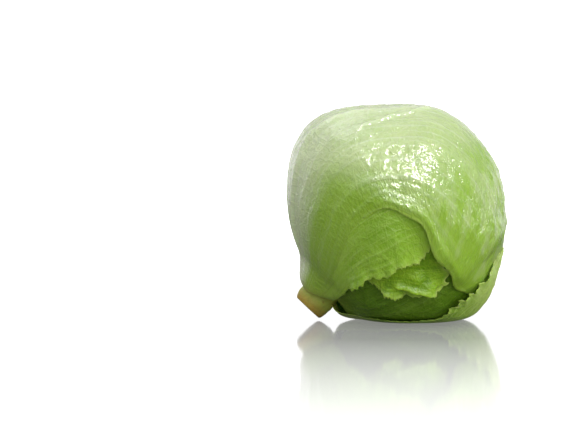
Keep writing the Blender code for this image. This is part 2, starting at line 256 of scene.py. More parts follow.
LEAVES = (
    Leaf(
        name="under_leaf", cells=(120, 150),
        lift=0.4 * MM, wave=3.0 * MM, crumple=0.8 * MM, scallops=4.0, scallop=0.04, phase=0.4,
        calm_from=(90, 104),
        ruffle=3.2 * MM, tooth=2.2 * MM, paleness=0.1, painted_tip_light=0.5, coat=0.2,
        rows=(
            ((BASE_ANGLE, 146), (BASE_ANGLE, 184), (BASE_ANGLE, 226)),
            ((22, 142), (25, 184), (25, 230)),
            ((40, 136), (45, 184), (45, 232)),
            ((57, 142), (62, 184), (65, 232)),
            ((66, 147), (74, 185), (78, 230)),
            ((74, 140), (85, 186), (88, 228)),
            ((86, 145), (98, 184), (98, 222)),
            ((98, 150), (110, 182), (106, 212)),
            ((108, 158), (116, 181), (112, 200)),
        ),
    ),
    Leaf(
        name="cover_leaf", cells=(160, 240),
        lift=1.2 * MM, wave=1.6 * MM, crumple=1.0 * MM, scallops=6.0, scallop=0.015, phase=1.9,
        rib=1.0 * MM, midrib=2.4 * MM, waves_from=(74, 94),
        ruffle=0.3 * MM, tooth=0.2 * MM, rolled=1.7 * MM, paleness=0.8, coat=1.0,
        fold=((96, 41), (112, 40), (122, 39), (136, 39), (152, 31)), fold_height=1.8 * MM,
        rows=(
            ((BASE_ANGLE, 95), (BASE_ANGLE, 22), (BASE_ANGLE, -35)),
            ((30, 88), (30, 22), (30, -34)),
            ((55, 80), (60, 22), (60, -32)),
            ((76, 77), (88, 22), (90, -32)),
            ((87, 85), (112, 24), (114, -40)),
            ((89, 98), (138, 30), (134, -58)),
            ((85, 112), (158, 60), (148, -85)),
            ((82, 124), (156, 125), (150, -125)),
            ((81, 136), (136, 156), (134, -148)),
            ((82, 148), (114, 168), (116, -160)),
            ((85, 160), (94, 178), (101, -166)),
        ),
    ),
    Leaf(
        name="back_low_leaf", cells=(100, 180),
        lift=1.0 * MM, wave=4.0 * MM, crumple=1.2 * MM, scallops=4.0, scallop=0.03, phase=3.1,
        ruffle=1.6 * MM, tooth=1.2 * MM,
        rows=(
            ((BASE_ANGLE, 290), (BASE_ANGLE, 243), (BASE_ANGLE, 198)),
            ((30, 288), (30, 243), (30, 200)),
            ((60, 287), (60, 243), (60, 202)),
            ((90, 285), (90, 243), (90, 203)),
            ((115, 280), (116, 243), (112, 203)),
            ((138, 270), (140, 242), (132, 206)),
            ((150, 262), (154, 240), (147, 216)),
        ),
    ),
    Leaf(
        name="front_leaf", cells=(120, 130),
        lift=1.4 * MM, wave=3.4 * MM, crumple=0.6 * MM, scallops=5.0, scallop=0.02, phase=0.9,
        rib=1.2 * MM, midrib=1.8 * MM,
        pucker=0.3 * MM, ruffle=1.8 * MM, tooth=1.6 * MM, paleness=0.15,
        rows=(
            ((BASE_ANGLE, 122), (BASE_ANGLE, 62), (BASE_ANGLE, 0)),
            ((18, 112), (22, 64), (22, 2)),
            ((30, 103), (38, 60), (40, 6)),
            ((43, 99), (54, 60), (58, 12)),
            ((55, 101), (66, 60), (72, 18)),
            ((64, 105), (77, 62), (84, 25)),
            ((72, 108), (88, 66), (94, 34)),
            ((81, 111), (98, 74), (102, 46)),
            ((90, 110), (102, 88), (105, 64)),
        ),
    ),
    Leaf(
        name="back_top_leaf", cells=(110, 190),
        lift=0.8 * MM, wave=3.4 * MM, crumple=1.2 * MM, scallops=4.0, scallop=0.06, phase=5.2,
        ruffle=1.2 * MM, tooth=1.0 * MM,
        rows=(
            ((BASE_ANGLE, 355), (BASE_ANGLE, 305), (BASE_ANGLE, 252)),
            ((30, 352), (30, 305), (30, 256)),
            ((60, 352), (60, 305), (60, 258)),
            ((90, 354), (90, 306), (92, 258)),
            ((118, 354), (118, 306), (118, 260)),
            ((140, 350), (142, 306), (138, 260)),
            ((156, 345), (158, 303), (152, 256)),
            ((166, 335), (170, 296), (162, 250)),
        ),
    ),
    Leaf(
        name="flap_leaf", cells=(90, 130),
        lift=1.5 * MM, wave=3.4 * MM, crumple=3.2 * MM, scallops=4.0, scallop=0.03, phase=2.2,
        pucker=1.2 * MM, ruffle=2.2 * MM, tooth=1.6 * MM, paleness=0.1, painted_crest_light=0.55,
        fold=((59, 110), (63, 116), (68, 123), (73, 129)), fold_height=3.4 * MM,
        fold_width=1.4 * MM, coat=0.1,
        rows=(
            ((BASE_ANGLE, 116), (BASE_ANGLE, 84), (BASE_ANGLE, 50)),
            ((20, 106), (20, 78), (20, 52)),
            ((34, 97), (35, 76), (35, 56)),
            ((47, 96), (48, 76), (48, 58)),
            ((52, 103), (58, 81), (60, 62)),
            ((54, 112), (66, 88), (72, 66)),
            ((60, 118), (74, 97), (84, 72)),
            ((69, 127), (82, 108), (93, 84)),
            ((80, 131), (89, 117), (98, 98)),
        ),
    ),
    Leaf(
        name="bottom_leaf", cells=(110, 110), rib=0.5 * MM, midrib=1.0 * MM,
        pucker=0.3 * MM, ruffle=0.0, tooth=0.0, paleness=0.0, coat=0.1,
        rows=(
            ((BASE_ANGLE, 184), (BASE_ANGLE, 138), (BASE_ANGLE, 92)),
            ((25, 180), (25, 134), (25, 86)),
            ((45, 174), (45, 132), (45, 84)),
            ((66, 172), (64, 133), (62, 90)),
            ((86, 168), (82, 134), (78, 98)),
            ((98, 158), (96, 136), (92, 112)),
            ((104, 148), (106, 134), (102, 122)),
        ),
    ),
)
print(len(LEAVES), "outer leaves")

# %% [markdown]
# ## Stack the leaves
#
# Each leaf lies under those named before it. Under a leaf it drops by that leaf's thickness and a
# hair's gap, and past that leaf's edge it rises again. Near the floor and under other leaves it
# has no waves of its own, so nothing cuts through anything. Two hollows give the pocket at the
# front, where the big leaf stands away from those under it.

# %% Find how deep each leaf lies
BLADE = 0.9 * MM
BLADE_AT_BASE = 1.6 * MM
THINNING_ANGLE = 20
GAP = 0.8 * MM
# How far past a leaf's edge those under it have risen again, and have waves of their own
STEP = (8 * MM, 20 * MM)
FREE = (4 * MM, 14 * MM)
# How high over the table a leaf has waves of its own
FLOOR_CLEAR = (3 * MM, 15 * MM)
# The place and radius of each hollow, and how deep it is in the leaves under the top one
HOLLOWS = (
    ((78, 112), 34 * MM, {"front_leaf": 3.5 * MM, "flap_leaf": 3.5 * MM, "bottom_leaf": 3.5 * MM}),
    ((62, 122), 34 * MM, {"flap_leaf": 1.8 * MM, "bottom_leaf": 4.5 * MM}),
)
EDGE_SAMPLES = 150
LENGTH_SAMPLES = 200
BLADE_SAMPLES = 61
POINTS_AT_ONCE = 4096


def thickness(way):
    near_base = np.exp(-(from_stem(way) - BASE_ANGLE) / THINNING_ANGLE)
    return BLADE + (BLADE_AT_BASE - BLADE) * near_base


def even_grid(samples):
    across, along = np.meshgrid(np.linspace(-1, 1, samples), np.linspace(0, 1, samples))
    return across.ravel(), along.ravel()


def edge_line(leaf):
    ones = np.ones(EDGE_SAMPLES)
    side, end = np.linspace(0, 1, EDGE_SAMPLES), np.linspace(-1, 1, EDGE_SAMPLES)
    across = np.concatenate([-ones, end, ones])
    along = np.concatenate([side, ones, side[::-1]])
    return lay(leaf.rows, across, along)


def leaf_length(leaf):
    midrib = lay(leaf.rows, np.zeros(LENGTH_SAMPLES), np.linspace(0, 1, LENGTH_SAMPLES))
    return np.linalg.norm(np.diff(midrib, axis=0), axis=1).sum() * HALF_DEPTH


EDGES = {leaf.name: edge_line(leaf) for leaf in LEAVES}
LENGTHS = {leaf.name: leaf_length(leaf) for leaf in LEAVES}
BLADES = {leaf.name: lay(leaf.rows, *even_grid(BLADE_SAMPLES)) for leaf in LEAVES}


def nearest(way, line):
    """How far each direction lies from a line of directions, and which of these is nearest."""
    distance, which = np.zeros(len(way)), np.zeros(len(way), int)
    for start in range(0, len(way), POINTS_AT_ONCE):
        some = slice(start, start + POINTS_AT_ONCE)
        closeness = way[some] @ line.T
        which[some] = closeness.argmax(axis=1)
        closest = np.clip(closeness.max(axis=1), -1, 1)
        distance[some] = np.arccos(closest) * HALF_DEPTH
    return distance, which


def depth(way, count):
    """How deep a leaf with this many over it lies, and how free it is to wave."""
    deep, free = np.zeros(len(way)), np.ones(len(way))
    for leaf in LEAVES[:count]:
        beyond, _ = nearest(way, BLADES[leaf.name])
        deep += (1 - ease(beyond, *STEP)) * (thickness(way) + GAP)
        free *= ease(beyond, *FREE)
    return deep, free


def hollow(way, name):
    deeper = np.zeros(len(way))
    for place, radius, depths in HOLLOWS:
        centre = direction(*np.array(place, float))
        away = np.arccos(np.clip(way @ centre, -1, 1)) * HALF_DEPTH
        deeper += depths.get(name, 0) * np.maximum(1 - (away / radius) ** 2, 0) ** 2
    return deeper


# %% [markdown]
# ## Margins
#
# A lettuce leaf grows faster at its edge than in its middle, so the edge has more length than it
# needs and stands up in waves. There are three sizes of them: broad waves, which the measured
# model has too, ruffles a centimetre long, and small teeth in the outline itself. The big leaf on
# top has next to none of these. Its edge is rolled, and a long fold runs up its front.

# %% Wave, ruffle and cut the margin
# The shares of a leaf's length over which its scallops and teeth, and its creases, begin
MARGIN_START = (0.15, 0.3)
CRUMPLE_START = (0.15, 0.5)
# The higher the power, the more the scallops keep to the very edge
SIDE_POWER = 5
END_POWER = 7
TIP_SCALLOPS = 2.5
FRILL_REACH = 9 * MM
FRILL_WAVE = 27 * MM
FRILL_SLOW_WAVE = 61 * MM
RUFFLE_REACH = 4.5 * MM
RUFFLE_WAVE = 11 * MM
RUFFLE_BEND = 17 * MM
BEAD_INSET = 5 * MM
BEAD_WIDTH = 3.2 * MM
TOOTH_REACH = 3 * MM
TOOTH_WAVE = 5.1 * MM
FINE_TOOTH_WAVE = 2.3 * MM
TOOTH_BEND = 23 * MM
TOOTH_SWELL = 9 * MM
TOOTH_SHARE = 0.6
FOLD_SAMPLES = 60
FOLD_END = 0.2


def noise_at(points, size, seed=0.0):
    spots = points / size + seed
    return np.array([noise.noise(Vector(spot)) for spot in spots])


def scalloped(leaf, across, along):
    turn = math.tau * leaf.scallops * along + leaf.phase
    side = np.abs(across) ** SIDE_POWER * np.sin(turn + 0.5 * np.sin(turn / 3))
    side *= ease(along, *MARGIN_START)
    end = along**END_POWER
    end *= 0.5 + 0.5 * np.sin(math.tau * TIP_SCALLOPS * across + leaf.phase)
    return across * (1 + leaf.scallop * side), along * (1 - leaf.scallop * end)


def crumples(leaf, across, along):
    """Creases of two sizes, each made of two trains of waves that cross at a slant."""
    wide = np.sin(7 * across + 5 * along + leaf.phase) * np.sin(17 * along - 2 * across)
    fine = np.sin(11 * across - 9 * along) * np.sin(23 * along + 6 * across + leaf.phase)
    return leaf.crumple * (0.6 * wide + 0.4 * fine) * ease(along, *CRUMPLE_START)


def along_edge(leaf, way):
    """How far inside the margin each direction lies, and beside which place along it."""
    line = EDGES[leaf.name]
    inside, which = nearest(way, line)
    steps = np.linalg.norm(np.diff(line, axis=0), axis=1)
    return inside, (np.concatenate([[0], np.cumsum(steps)]) * HALF_DEPTH)[which]


def waving(leaf, way):
    """How much the margin waves there: 0 near the stem, 1 where it is in full wave."""
    far = from_stem(way)
    return ease(far, *leaf.waves_from) * (1 - 0.9 * ease(far, *leaf.calm_from))


def frill(leaf, started, inside, place):
    edge = np.exp(-inside / FRILL_REACH) * started
    quick = np.sin(math.tau * place / FRILL_WAVE + leaf.phase)
    slow = np.sin(math.tau * place / FRILL_SLOW_WAVE + 2.3 * leaf.phase)
    broad = edge * (leaf.lift + leaf.wave * (0.5 + 0.5 * quick) * (0.65 + 0.35 * slow))
    bend = 2.5 * np.sin(place / RUFFLE_BEND + leaf.phase)
    small = 0.5 + 0.5 * np.sin(math.tau * place / RUFFLE_WAVE + bend)
    ruffle = leaf.ruffle * small * np.exp(-inside / RUFFLE_REACH) * started
    bead = leaf.rolled * np.exp(-(((inside - BEAD_INSET) / BEAD_WIDTH) ** 2)) * started
    return broad + ruffle + bead


def fold_line(leaf):
    """The crease where a leaf is folded over, as a fine line of directions."""
    places = np.array(leaf.fold, float)
    knots = direction(places[:, 0], places[:, 1])
    where = np.linspace(0, len(knots) - 1, FOLD_SAMPLES)
    return unit(smooth_through(np.arange(len(knots)), knots, where))


def folded(leaf, way):
    """How much of a fold there is, 1 on its crest and less towards its two ends."""
    if not leaf.fold:
        return np.zeros(len(way))
    line = fold_line(leaf)
    away, which = nearest(way, line)
    place = which / (len(line) - 1)
    ends = ease(place, 0, FOLD_END) * (1 - ease(place, 1 - FOLD_END, 1))
    return np.exp(-((away / leaf.fold_width) ** 2)) * ends


def toothed(leaf, across, along, place, inside):
    """Cut teeth of two sizes: where the broad ones are small, the fine ones grow."""
    bend = 3 * np.sin(place / TOOTH_BEND)
    broad = np.sin(math.tau * place / TOOTH_WAVE + bend)
    fine = np.sin(math.tau * place / FINE_TOOTH_WAVE - bend)
    uneven = 0.65 + 0.35 * np.sin(place / TOOTH_SWELL + leaf.phase)
    tooth = uneven * broad + 0.7 * (1.3 - uneven) * fine
    reach = leaf.tooth / half_width(leaf.rows, along)
    near = np.exp(-inside / TOOTH_REACH) * ease(along, *MARGIN_START)
    return across * (1 + TOOTH_SHARE * reach * tooth * near * np.abs(across) ** 3)


# %% [markdown]
# ## Ribs, veins and puckers
#
# On the outside of a leaf the ribs stand proud. The midrib and its neighbours fan out from the
# stem and fade towards the tip, and thinner side veins leave them at a slant. Between the veins
# the blade grows a little too big and puffs out, most of all on the far side from the stem. These
# puckers help to break up the shine on the head's dome.

# %% Raise ribs and puckers
# The ribs' spacing, width and sideways sway are shares of the leaf's half width
RIB_SPACING = 0.25
RIB_WIDTH = 0.07
RIB_SWAY = 0.05
RIB_START = (0.03, 0.15)
RIB_FADE = (0.3, 0.95)
# Spacing, height and sideways shift of each set of thin ribs
THIN_RIBS = ((0.125, 1.0, 0.0), (0.071, 0.6, 0.03))
THIN_RIB_START = (0.02, 0.1)
THIN_RIB_FADE = (0.35, 0.9)
# The width of a thin rib at the tip, and what it has more at the base
THIN_RIB_WIDTH = (0.8, 0.7)
# The ribs' heights follow a wave, which moves on by this much from one rib to the next
RIB_CHANGE = 2.6
THIN_RIB_CHANGE = 7.3
MIDDLE_LINE_WIDTH = 0.035
VEIN_SPACING = 15 * MM
VEIN_WIDTH = 0.9 * MM
VEIN_SLANT = 0.9
VEIN_SWAY = 5 * MM
PUCKER_WIDTH = 5.5 * MM
PUCKER_LENGTH = 9 * MM
LARGE_PUCKERS = 0.4


def rib_lanes(leaf, across, along, wander):
    moved = across + RIB_SWAY * wander * ease(along, 0.05, 0.3)
    lane = np.round(moved / RIB_SPACING)
    ridge = np.exp(-(((moved - RIB_SPACING * lane) / RIB_WIDTH) ** 2))
    height = np.where(lane == 0, leaf.midrib, leaf.rib)
    height = height * (0.65 + 0.35 * np.sin(RIB_CHANGE * lane + leaf.phase))
    on_blade = np.where(np.abs(across) < 1 - RIB_SPACING / 2, 1.0, 0.0)
    fade = ease(along, *RIB_START) * (1 - ease(along, *RIB_FADE))
    return ridge * height * on_blade * fade


def thin_ribs(leaf, across, along, wander):
    ridges = np.zeros(len(across))
    at_tip, more_at_base = THIN_RIB_WIDTH
    for spacing, height, shift in THIN_RIBS:
        moved = across + RIB_SWAY * wander + shift
        lane = np.round(moved / spacing)
        own_height = height * (0.55 + 0.45 * np.sin(THIN_RIB_CHANGE * lane + leaf.phase))
        width = (at_tip + more_at_base * (1 - along)) * MM / half_width(leaf.rows, along)
        ridges += own_height * np.exp(-(((moved - spacing * lane) / width) ** 2))
    return ridges * ease(along, *THIN_RIB_START) * (1 - 0.7 * ease(along, *THIN_RIB_FADE))


def middle_line(across, along, wander):
    line = np.exp(-(((across + RIB_SWAY * wander) / MIDDLE_LINE_WIDTH) ** 2))
    fade = ease(along, 0.05, 0.15) * (1 - ease(along, 0.5, 0.95))
    return line * fade


def side_veins(side, length_up, wander):
    slant = length_up - VEIN_SLANT * np.abs(side) + VEIN_SWAY * wander
    off = (slant / VEIN_SPACING + 0.5) % 1 - 0.5
    return np.exp(-((off * VEIN_SPACING / VEIN_WIDTH) ** 2))


def puckers(side, length_up, wander):
    spots = np.stack([side / PUCKER_WIDTH, length_up / PUCKER_LENGTH, wander], axis=1)
    small = np.array([noise.noise(Vector(spot)) for spot in spots])
    large = np.array([noise.noise(Vector(spot) * LARGE_PUCKERS) for spot in spots])
    return 0.65 * np.abs(small) + 0.8 * np.abs(large)


# %% [markdown]
# ## Build a leaf
#
# A flat grid is made, and each of its points is moved to its place on the head. The grid is then
# pushed down as a second face, so that the leaf is a closed thin shell, thinnest at its margin.
# What the material needs to know about each point, such as how much vein is there and how near
# the edge it is, is kept as attributes of the mesh.

# %% Find the height of each point of a leaf
# The ribs and veins wander by a noise of this size
WANDER_SIZE = 28 * MM
WANDER_SEED = 3.1
# A margin that doesn't wave is pressed down on the next leaf, this far in
PRESS_REACH = 8 * MM
# Where a blade is free to wave it also lies this much lower
SETTLE = 0.5 * MM
# At its base a leaf goes down to the stem's side, over these angles from the stem
BASE_DROP = 1.6 * MM
BASE_SPAN = (BASE_ANGLE, 14)
VEIN_START = (0.1, 0.3)
PUCKER_START = (0.1, 0.4)
PUCKER_INSET = 6 * MM
# The puckers grow by this share over these angles from the stem
PUCKER_GROWTH = 3.0
PUCKER_SPAN = (80, 105)
THIN_RIB_HEIGHT = 0.45 * MM
VEIN_HEIGHT = 0.2 * MM


@dataclass
class Spots:
    """Where the points of a leaf are: as shares, by the margin, as directions, on the flat."""

    across: np.ndarray
    along: np.ndarray
    inside: np.ndarray
    place: np.ndarray
    way: np.ndarray
    flat: np.ndarray
    wander: np.ndarray


def find_spots(number, across, along):
    leaf = LEAVES[number]
    inside, place = along_edge(leaf, lay(leaf.rows, across, along))
    across, along = scalloped(leaf, across, along)
    across = toothed(leaf, across, along, place, inside)
    side = across * half_width(leaf.rows, along)
    flat = np.stack([side, along * LENGTHS[leaf.name], np.zeros(len(side))], axis=1)
    wander = noise_at(flat, WANDER_SIZE, WANDER_SEED + number)
    return Spots(across, along, inside, place, lay(leaf.rows, across, along), flat, wander)


def blade_level(number, spots):
    """The distance of the smooth blade from the centre, and how free it is to have relief."""
    leaf, way = LEAVES[number], spots.way
    deep, free = depth(way, number)
    lowest = head_radius(way) - deep - hollow(way, leaf.name)
    free = free * ease(CENTRE[2] + lowest * way[:, 2], *FLOOR_CLEAR)
    started = waving(leaf, way)
    waves = frill(leaf, started, spots.inside, spots.place)
    waves += np.abs(crumples(leaf, spots.across, spots.along))
    near_edge = np.exp(-((spots.inside / PRESS_REACH) ** 2))
    pressed = (1 - started) * near_edge * (thickness(way) + GAP)
    at_base = BASE_DROP * (1 - ease(from_stem(way), *BASE_SPAN))
    return lowest + free * (waves - SETTLE) - pressed - at_base, free


def relief_of(leaf, spots):
    """How much rib, vein, pucker and fold there is at each point."""
    across, along, wander = spots.across, spots.along, spots.wander
    side, length_up = spots.flat[:, 0], spots.flat[:, 1]
    puff = puckers(side, length_up, wander) * ease(along, *PUCKER_START)
    puff *= ease(spots.inside, 0, PUCKER_INSET)
    puff *= 1 + PUCKER_GROWTH * ease(from_stem(spots.way), *PUCKER_SPAN)
    return {
        "ribs": rib_lanes(leaf, across, along, wander),
        "thin": thin_ribs(leaf, across, along, wander),
        "veins": side_veins(side, length_up, wander) * ease(along, *VEIN_START),
        "puff": puff,
        "crease": folded(leaf, spots.way),
    }


def height_of(leaf, relief):
    raised = relief["ribs"] + THIN_RIB_HEIGHT * relief["thin"] + VEIN_HEIGHT * relief["veins"]
    raised += leaf.pucker * relief["puff"]
    raised += leaf.fold_height * relief["crease"]
    return raised


# %% Find how much of each colour is where
# A thin pale rim along each waving margin is a painted highlight, where the edge catches the light
PAINTED_RIM_WIDTH = 1.3 * MM
PAINTED_RIM_SPAN = (30, 85)
BASE_FADE = 4
FULL_RIB = 2 * MM
PATCH_SIZE = 13 * MM
PATCH_SEED = 5.7
# How far round the stem the leaves are pale, in degrees: fully so, and then fading
PALE_NECK = (9, 9)
PALE_MIDRIB_WIDTH = 0.5
PALE_MIDRIB_FADE = (0.25, 0.7)
PAINTED_TIP_LIGHT_SPAN = (70, 92)
GREEN_MARGIN = 0.75
GREEN_MARGIN_REACH = 13 * MM
# The green side at the right: over these angles round the head it comes and goes again
GREEN_COMES = (78, 108)
GREEN_GOES = (185, 230)
GREEN_FROM_STEM = (72, 92)


def veining(spots, relief):
    """How whitish a point is for the ribs, veins and folds on it; on a fold's crest it is partly a
    pale rib and partly a painted highlight.
    """
    veins = 0.4 * np.clip(relief["ribs"] / FULL_RIB, 0, 1) + 0.35 * relief["thin"]
    veins += 0.15 * relief["veins"]
    veins += 0.6 * middle_line(spots.across, spots.along, spots.wander)
    # The crest of a fold is painted pale: partly a pale rib, partly a painted highlight along the
    # ridge
    veins += 0.7 * relief["crease"]
    return np.clip(veins, 0, 1)


def paleness(leaf, spots):
    full, fade = PALE_NECK
    near_stem = np.exp(-np.maximum(from_stem(spots.way) - full, 0) / fade)
    by_midrib = np.exp(-((spots.across / PALE_MIDRIB_WIDTH) ** 2))
    by_midrib *= 1 - 0.8 * ease(spots.along, *PALE_MIDRIB_FADE)
    # Painted light: a leaf can be made paler towards its far end, where the light falls on it
    at_tip = leaf.painted_tip_light * ease(from_stem(spots.way), *PAINTED_TIP_LIGHT_SPAN)
    # Painted light and shade: the crests of the creases are made pale, and the hollows stay deep
    # green
    crests = np.abs(crumples(leaf, spots.across, spots.along)) / max(leaf.crumple, BLADE)
    shares = 0.5 * near_stem + leaf.paleness * by_midrib + at_tip + leaf.painted_crest_light * crests
    return np.clip(shares, 0, 1)


def greenness(leaf, spots):
    """How fresh a green the big leaf has: most at its front side, in patches at the right."""
    at_side = (1 - waving(leaf, spots.way)) * ease(-spots.across, 0.2, 0.7)
    at_margin = GREEN_MARGIN * np.exp(-spots.inside / GREEN_MARGIN_REACH)
    turn = round_head(spots.way)
    right_side = ease(turn, *GREEN_COMES) * (1 - ease(turn, *GREEN_GOES))
    right_side *= ease(from_stem(spots.way), *GREEN_FROM_STEM)
    patchy = noise_at(spots.flat, PATCH_SIZE, PATCH_SEED)
    patches = right_side * np.clip(0.85 + 1.8 * patchy, 0.3, 1)
    return np.clip(at_side + at_margin + patches, 0, 1) * (leaf.name == "cover_leaf")


def colour_shares(leaf, spots, relief):
    far = from_stem(spots.way)
    return {
        "vein": veining(spots, relief),
        # A painted highlight along the waving margins
        "painted_rim_light": np.exp(-spots.inside / PAINTED_RIM_WIDTH) * waving(leaf, spots.way) * ease(far, *PAINTED_RIM_SPAN),
        "green": greenness(leaf, spots),
        "pale": paleness(leaf, spots),
        "base": np.exp(-np.maximum(far - BASE_ANGLE, 0) / BASE_FADE),
    }


# %% Make one leaf
# The share of its thickness that the blade has at its very margin, and where it has all of it
MARGIN_THICKNESS = 0.4
THICK_INSET = 4 * MM


def leaf_surface(number, across, along):
    """The points of the outer and the inner face, and what the material has to know of them."""
    leaf = LEAVES[number]
    spots = find_spots(number, across, along)
    middle, free = blade_level(number, spots)
    relief = relief_of(leaf, spots)
    outer = middle + free * height_of(leaf, relief)
    share = MARGIN_THICKNESS + (1 - MARGIN_THICKNESS) * ease(spots.inside, 0, THICK_INSET)
    inner = middle - thickness(spots.way) * share
    shares = np.stack([spots.across, spots.along, np.zeros(len(across))], axis=1)
    places = {"on_leaf": spots.flat, "shares": shares}
    faces = [CENTRE + spots.way * level[:, None] for level in (outer, inner)]
    return *faces, places, colour_shares(leaf, spots, relief)


def store(mesh, name, kind, values):
    made = mesh.attributes.new(name, kind, "POINT")
    made.data.foreach_set("vector" if kind == "FLOAT_VECTOR" else "value", values.ravel())


def store_all(mesh, places, colours):
    """Keep what is known of a grid point at both of the points that were made of it."""
    point = np.zeros(len(mesh.vertices), int)
    mesh.attributes["point"].data.foreach_get("value", point)
    for name, values in places.items():
        store(mesh, name, "FLOAT_VECTOR", values[point])
    for name, values in colours.items():
        store(mesh, name, "FLOAT", values[point])


def object_from(bm, name):
    mesh = bpy.data.meshes.new(name)
    bm.to_mesh(mesh)
    bm.free()
    made = bpy.data.objects.new(name, mesh)
    bpy.context.scene.collection.objects.link(made)
    return made


def make_leaf(number):
    leaf = LEAVES[number]
    bm = bmesh.new()
    bmesh.ops.create_grid(bm, x_segments=leaf.cells[0], y_segments=leaf.cells[1], size=1)
    flat = np.array([v.co[:2] for v in bm.verts])
    outer, inner, places, colours = leaf_surface(number, flat[:, 0], flat[:, 1] / 2 + 0.5)
    label = bm.verts.layers.int.new("point")
    for index, vert in enumerate(bm.verts):
        vert.co = outer[index]
        vert[label] = index
    grown = bmesh.ops.extrude_face_region(bm, geom=bm.faces, use_keep_orig=True)
    for item in grown["geom"]:
        if isinstance(item, bmesh.types.BMVert):
            item.co = inner[item[label]]
    bmesh.ops.recalc_face_normals(bm, faces=bm.faces)
    piece = object_from(bm, leaf.name + "_blade")
    store_all(piece.data, places, colours)
    piece.data.shade_smooth()
    return piece


# %% [markdown]
# ## What a leaf is made of
#
# A leaf's colour comes from inside it, so the shader lets a little light under the surface. The
# green is patchy, the ribs and the part near the stem are whitish, and a fine net of veins is
# laid over the blade in the leaf's own coordinates, so it follows the leaf round the head. A thin
# coat is the wax that makes the head shine. It has small blisters of its own, which break its
# highlight into sparks.

# %% Helpers for materials
# Where a colour mix has its factor and two colours, and its result
MIX_INPUTS = (0, 6, 7)
MIX_RESULT = 2


def new_material(name):
    material = bpy.data.materials.new(name)
    material.use_nodes = True
    tree = material.node_tree
    shader = tree.nodes["Principled BSDF"]
    return material, tree, shader


def add_node(tree, kind, **settings):
    node = tree.nodes.new(kind)
    for name, value in settings.items():
        setattr(node, name, value)
    return node


def stored(tree, name, output="Fac"):
    """What the mesh keeps under this name."""
    return add_node(tree, "ShaderNodeAttribute", attribute_name=name).outputs[output]


def object_place(tree):
    return add_node(tree, "ShaderNodeTexCoord").outputs["Object"]


def feed(tree, socket, value):
    """Link a socket to another node's output, or set it to a colour or a number."""
    if isinstance(value, bpy.types.NodeSocket):
        tree.links.new(value, socket)
    elif socket.type == "RGBA":
        socket.default_value = (*value, 1)
    else:
        socket.default_value = value


def feed_all(tree, shader, values):
    for name, value in values.items():
        feed(tree, shader.inputs[name], value)


def blend_colours(tree, share, first, second):
    node = add_node(tree, "ShaderNodeMix", data_type="RGBA")
    for index, value in zip(MIX_INPUTS, (share, first, second)):
        feed(tree, node.inputs[index], value)
    return node.outputs[MIX_RESULT]


def map_range(tree, value, low, high, to_low, to_high):
    node = add_node(tree, "ShaderNodeMapRange")
    tree.links.new(value, node.inputs[0])
    for index, number in enumerate((low, high, to_low, to_high), 1):
        node.inputs[index].default_value = number
    return node.outputs[0]


def arithmetic(tree, operation, first, second):
    node = add_node(tree, "ShaderNodeMath", operation=operation)
    feed(tree, node.inputs[0], first)
    feed(tree, node.inputs[1], second)
    return node.outputs[0]


def times(tree, first, second):
    return arithmetic(tree, "MULTIPLY", first, second)


def plus(tree, first, second):
    return arithmetic(tree, "ADD", first, second)


def stretched(tree, vector, scale):
    node = add_node(tree, "ShaderNodeMapping")
    feed_all(tree, node, {"Vector": vector, "Scale": scale})
    return node.outputs[0]


def noise_texture(tree, vector, size, detail=3.0):
    node = add_node(tree, "ShaderNodeTexNoise")
    feed_all(tree, node, {"Vector": vector, "Scale": 1 / size, "Detail": detail})
    return node.outputs[0]


def blotches(tree, vector, size):
    """0 in some places and 1 in others, with soft bounds between them."""
    return map_range(tree, noise_texture(tree, vector, size), 0.35, 0.65, 0, 1)


def between(tree, vector, size, low, high):
    """A value that changes softly from place to place."""
    return map_range(tree, noise_texture(tree, vector, size), 0.3, 0.7, low, high)


def cell_distance(tree, vector, size, feature):
    node = add_node(tree, "ShaderNodeTexVoronoi", feature=feature)
    feed_all(tree, node, {"Vector": vector, "Scale": 1 / size})
    return node.outputs["Distance"]


def vein_net(tree, vector, size, width):
    """1 on the lines between cells about size across, and 0 inside them."""
    return map_range(tree, cell_distance(tree, vector, size, "DISTANCE_TO_EDGE"), 0, width, 1, 0)


def blisters(tree, vector, size, height):
    """How far each point lies from the top of the small puffed cell that it is in."""
    return times(tree, cell_distance(tree, vector, size, "SMOOTH_F1"), height)


def bump_of(tree, relief, height, strength=0.8):
    node = add_node(tree, "ShaderNodeBump")
    feed_all(tree, node, {"Strength": strength, "Distance": height, "Height": relief})
    return node.outputs[0]


# %% Make a leaf's material
# Stretching the leaf's shares like this makes fibres that are long and thin
FIBRE_STRETCH = (34, 3.2, 1)
# The cell size, line width and strength of the two nets of veins
NETS = ((7 * MM, 0.08, 0.16), (2.6 * MM, 0.10, 0.12))
# The cell size and height of the blisters in the blade and in its coat
BLADE_BLISTERS = (2.6 * MM, 0.8)
COAT_BLISTERS = (1.8 * MM, -1.0)
COAT_STRETCH = (1, 0.55, 1)
BLADE_RELIEF = 0.7 * MM
COAT_RELIEF = 0.6 * MM
LEAF_FINISH = {
    "Subsurface Weight": 0.3,
    "Subsurface Radius": (0.6, 1.0, 0.25),
    "Subsurface Scale": 4 * MM,
    "Specular IOR Level": 0.2,
    "Coat Roughness": 0.12,
}


def leaf_patterns(tree, on_leaf):
    """Fibres, grain and a net of veins, which are seen both in the colour and in the relief."""
    shares = stored(tree, "shares", "Vector")
    fibre = noise_texture(tree, stretched(tree, shares, FIBRE_STRETCH), 1, 4.0)
    grain = map_range(tree, noise_texture(tree, on_leaf, 3 * MM, 5.0), 0.3, 0.7, 0, 1)
    nets = [
        times(tree, vein_net(tree, on_leaf, size, width), strength)
        for size, width, strength in NETS
    ]
    return fibre, grain, plus(tree, *nets)


